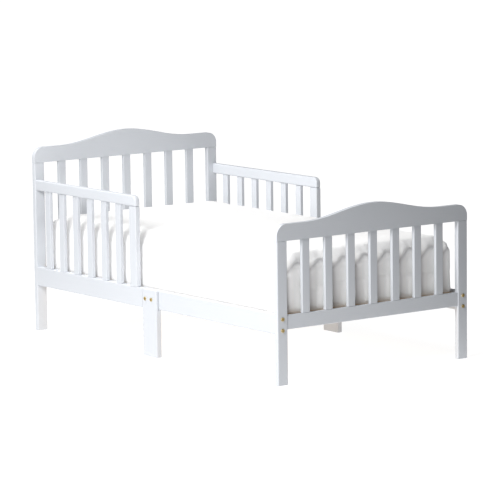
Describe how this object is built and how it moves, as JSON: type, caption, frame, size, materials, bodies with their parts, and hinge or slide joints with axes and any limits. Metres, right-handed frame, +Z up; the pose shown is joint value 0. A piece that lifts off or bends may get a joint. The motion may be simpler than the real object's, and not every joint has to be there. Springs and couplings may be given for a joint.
{
  "type": "toddler bed",
  "caption": "Low white wooden bed for a toddler with slatted, crested end boards, half-length slatted guard panels, side rails on mid legs, and a lift-out mattress in a fitted sheet.",
  "frame": {"origin": "on the floor under the middle of the bed", "axes": "+X from the headboard to the footboard, +Y from the near side to the far side, +Z up"},
  "size_m": [1.3656, 0.7606, 0.659],
  "materials": {
    "white_paint": "satin white paint on solid wood",
    "bare_pine": "bare sanded plywood",
    "brass_plate": "brass plated, satin",
    "mattress_ticking": "woven ticking",
    "white_cotton": "plain cotton"
  },
  "bodies": {
    "bed_frame": {"head_crest_rail": "white_paint", "head_lower_rail": "white_paint", "head_post_near": "white_paint", "head_bolt_near_lower": "brass_plate", "head_bolt_near_upper": "brass_plate", "head_post_far": "white_paint", "head_bolt_far_lower": "brass_plate", "head_bolt_far_upper": "brass_plate", "head_slat_1": "white_paint", "head_slat_2": "white_paint", "head_slat_3": "white_paint", "head_slat_4": "white_paint", "head_slat_5": "white_paint", "head_slat_6": "white_paint", "head_slat_7": "white_paint", "foot_crest_rail": "white_paint", "foot_lower_rail": "white_paint", "foot_post_near": "white_paint", "foot_bolt_near_lower": "brass_plate", "foot_bolt_near_upper": "brass_plate", "foot_post_far": "white_paint", "foot_bolt_far_lower": "brass_plate", "foot_bolt_far_upper": "brass_plate", "foot_slat_1": "white_paint", "foot_slat_2": "white_paint", "foot_slat_3": "white_paint", "foot_slat_4": "white_paint", "foot_slat_5": "white_paint", "foot_slat_6": "white_paint", "foot_slat_7": "white_paint", "side_rail_near": "white_paint", "guard_lower_rail_near": "white_paint", "guard_end_post_near": "white_paint", "guard_top_rail_near": "white_paint", "mid_leg_near": "white_paint", "guard_slat_near_1": "white_paint", "guard_slat_near_2": "white_paint", "guard_slat_near_3": "white_paint", "guard_slat_near_4": "white_paint", "guard_slat_near_5": "white_paint", "guard_slat_near_6": "white_paint", "leg_bolt_near_1": "brass_plate", "leg_bolt_near_2": "brass_plate", "side_rail_far": "white_paint", "guard_lower_rail_far": "white_paint", "guard_end_post_far": "white_paint", "guard_top_rail_far": "white_paint", "mid_leg_far": "white_paint", "guard_slat_far_1": "white_paint", "guard_slat_far_2": "white_paint", "guard_slat_far_3": "white_paint", "guard_slat_far_4": "white_paint", "guard_slat_far_5": "white_paint", "guard_slat_far_6": "white_paint", "leg_bolt_far_1": "brass_plate", "leg_bolt_far_2": "brass_plate", "base_board_1": "bare_pine", "base_board_2": "bare_pine"},
    "bedding": {"mattress": "mattress_ticking", "fitted_sheet": "white_cotton"}
  },
  "joints": [
    {"name": "mattress_lift", "type": "slide", "parent": "bed_frame", "child": "bedding", "axis": [0, 0, 1], "range_m": [0, 0.5]}
  ]
}
